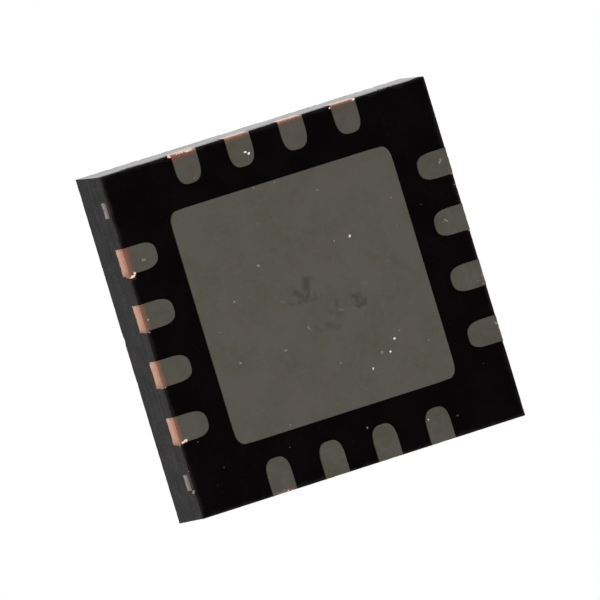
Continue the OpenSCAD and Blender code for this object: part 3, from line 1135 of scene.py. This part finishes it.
swarf = {                       # place on the underside and size, mm; stretch and turn of the longer ones
    # bright specks: real swarf whose near-white colour is a painted glint
    "bright": [
        (0.760, 0.714, 0.033), (0.672, 0.841, 0.028), (0.605, -0.525, 0.029, 1.4, 125),
        (0.422, 0.963, 0.021, 1.5, 100), (0.822, -1.950, 0.028), (1.104, -1.966, 0.028, 1.6, 0),
        (-0.284, -1.763, 0.031), (-0.247, -1.737, 0.032), (0.867, 1.692, 0.021), (1.975, 0.490, 0.012),
        (1.952, 0.899, 0.012), (1.975, 1.020, 0.012), (1.966, 0.960, 0.010),
    ],
    # dim specks: mostly dust; those by the +X lands' corners are dim painted glints
    "dim": [
        (0.573, 0.826, 0.044), (-0.166, 0.308, 0.023, 1.5, 80), (-0.520, -0.517, 0.038),
        (-0.503, 0.474, 0.040), (0.412, -0.523, 0.028), (-0.909, -0.215, 0.034), (-1.045, 0.459, 0.031),
        (0.845, 0.642, 0.025), (0.074, 0.796, 0.027), (-0.148, 0.342, 0.012), (-1.172, 0.063, 0.022),
        (1.138, 0.848, 0.018), (-0.697, 1.279, 0.032), (1.168, -0.480, 0.024), (1.198, -0.792, 0.024),
        (-0.313, -1.354, 0.023), (-0.060, -1.350, 0.022), (0.394, -1.120, 0.028),
        (1.744, -0.364, 0.029, 1.5, 40), (1.725, -0.380, 0.018, 1.5, -30), (1.714, -0.355, 0.012, 1.6, 80),
        (1.872, -1.015, 0.032, 2.6, -46), (-1.779, -0.962, 0.060), (0.163, 1.571, 0.024),
        (1.955, -0.720, 0.016), (-0.940, -1.655, 0.022),
        (0.960, -0.130, 0.012), (-0.380, -0.960, 0.012), (1.899, 0.382, 0.020), (1.956, -0.846, 0.018),
        (1.962, -0.192, 0.020), (1.935, -0.200, 0.012),
    ],
    "faint": [                  # on the mould
        (-1.777, 1.145, 0.020), (-0.771, 1.515, 0.017), (1.217, 1.750, 0.027), (1.684, 1.284, 0.014),
        (-1.571, 1.505, 0.015), (-1.702, 1.673, 0.010), (1.520, -0.620, 0.012),
    ],
    # copper burrs at the lead corners, their pale colour a painted glint
    "copper": [
        (-1.921, -0.850, 0.034, 1.2, 80), (-1.953, -0.820, 0.044, 1.6, -16), (-1.912, 1.088, 0.044),
        (-1.950, 1.102, 0.034), (-1.132, -1.970, 0.050, 1.3, 0), (-0.915, -1.966, 0.026, 3.6, 0),
        (-1.020, -1.970, 0.015, 7.0, 0), (-0.938, 1.960, 0.013),
    ],
    "blush": [                  # duller copper specks at the lead ends, partly dim painted glints
        (-1.928, -0.313, 0.024), (-1.955, 0.462, 0.022), (-0.190, -1.964, 0.016), (-0.300, -1.962, 0.014),
        (0.240, -1.968, 0.018), (0.330, -1.966, 0.014), (1.955, 0.340, 0.022), (1.940, 0.430, 0.014),
        (-1.060, 1.948, 0.011), (-0.985, 1.944, 0.013), (-1.010, 1.958, 0.012), (-0.900, 1.962, 0.011),
        (1.940, 0.880, 0.014), (-1.957, -0.180, 0.030, 1.3, 20), (-0.420, -1.966, 0.016, 1.8, 0),
    ],
    "rustAndGlow": [                   # darker copper dragged past the end of lead 4, also the painted red fringe round its glint
        (-1.932, -0.800, 0.052, 1.2, 60), (-1.966, -0.790, 0.040),
    ],
}
swarfOnSide = [                 # dim ones on the -X side: y, z, size, stretch and turn
    (1.664, 0.058, 0.044, 2.2, 161), (1.430, 0.030, 0.016, 1.2, 0),
]
swarfLook = {                   # two tones, metal, and how deep the speck is sunk as a share of its size
    # the near-white tones of the bright and copper specks are painted glints
    "bright": ((214, 208, 200), (255, 252, 246), 0.7, 0.10),
    "dim": ((104, 100, 94), (136, 131, 124), 0.5, 0.10),
    "copper": ((232, 176, 152), (255, 232, 220), 0.9, 0.10),
    "faint": ((40, 38, 36), (62, 58, 54), 0.3, 0.10),
    "blush": ((150, 104, 92), (196, 150, 134), 0.8, 0.10),
    "rustAndGlow": ((44, 20, 12), (68, 33, 23), 0.8, -0.05),
}


def carrierAt(x, y):
    # height of the surface that a speck lies on: the pad or a land, or else the mould
    x, y = x - package["shift"][0], y - package["shift"][1]
    if max(abs(x), abs(y)) < pad["width"] / 2:
        return 0.0
    reach, along = max(abs(x), abs(y)), min(abs(x), abs(y))
    away = abs(along / lead["pitch"] % 1 - 0.5) * lead["pitch"]
    onLand = reach > lead["tip"] and along < 2 * lead["pitch"] and away < lead["width"] / 2
    return 0.0 if onLand else package["standoff"]


def addFleck(build, place, size, draw, stretch=1.0, turn=0.0, flat=0.45, upright=False):
    # a small irregular flake, lying flat or against the -X side
    result = bmesh.ops.create_icosphere(build, subdivisions=2, radius=size / 2)
    spin = Matrix.Rotation(math.radians(turn), 3, "Z")
    if upright:
        spin = Matrix.Rotation(math.radians(90), 3, "Y") @ spin
    shape = Vector((stretch * draw.uniform(0.9, 1.15), draw.uniform(0.75, 1.0), flat))
    seed = draw.uniform(0, 50)
    for vertex in result["verts"]:
        bulge = 1 + 0.45 * waver(vertex.co / size * 2, 1.4, seed)
        vertex.co = spin @ (vertex.co * bulge * shape) + Vector(place)


def swarfMaterial(name, low, high, metal):
    material, shader, place = startMaterial(name, Metallic=metal)
    tone = useGroup(grain, place, Scale=60.0, Detail=2.0, Low=0.4, High=0.6)
    join(mixColor(tone["Mask"], srgb(*low), srgb(*high)), shader.inputs["Base Color"])
    join(spread(tone["Height"], 0.3, 0.5), shader.inputs["Roughness"])
    return material


def makeSwarf():
    draw = random.Random(7)
    for kind, places in swarf.items():
        *look, sunk = swarfLook[kind]
        build = bmesh.new()
        for x, y, size, *rest in places:
            addFleck(build, (x, y, carrierAt(x, y) - size * sunk), size, draw, *rest)
        if kind == "dim":
            for y, z, size, stretch, turn in swarfOnSide:
                addFleck(build, (-sawnHalf(z) - size * 0.05, y, z), size, draw, stretch, turn, upright=True)
        name = "swarf" + kind.capitalize()
        mesh = bpy.data.meshes.new(name)
        build.to_mesh(mesh)
        build.free()
        finishPiece(addObject(name, mesh), [], [swarfMaterial(name + "Metal", *look)], 60)


makeSwarf()
print("swarf specks scattered")

scene.view_settings.view_transform = "Standard"
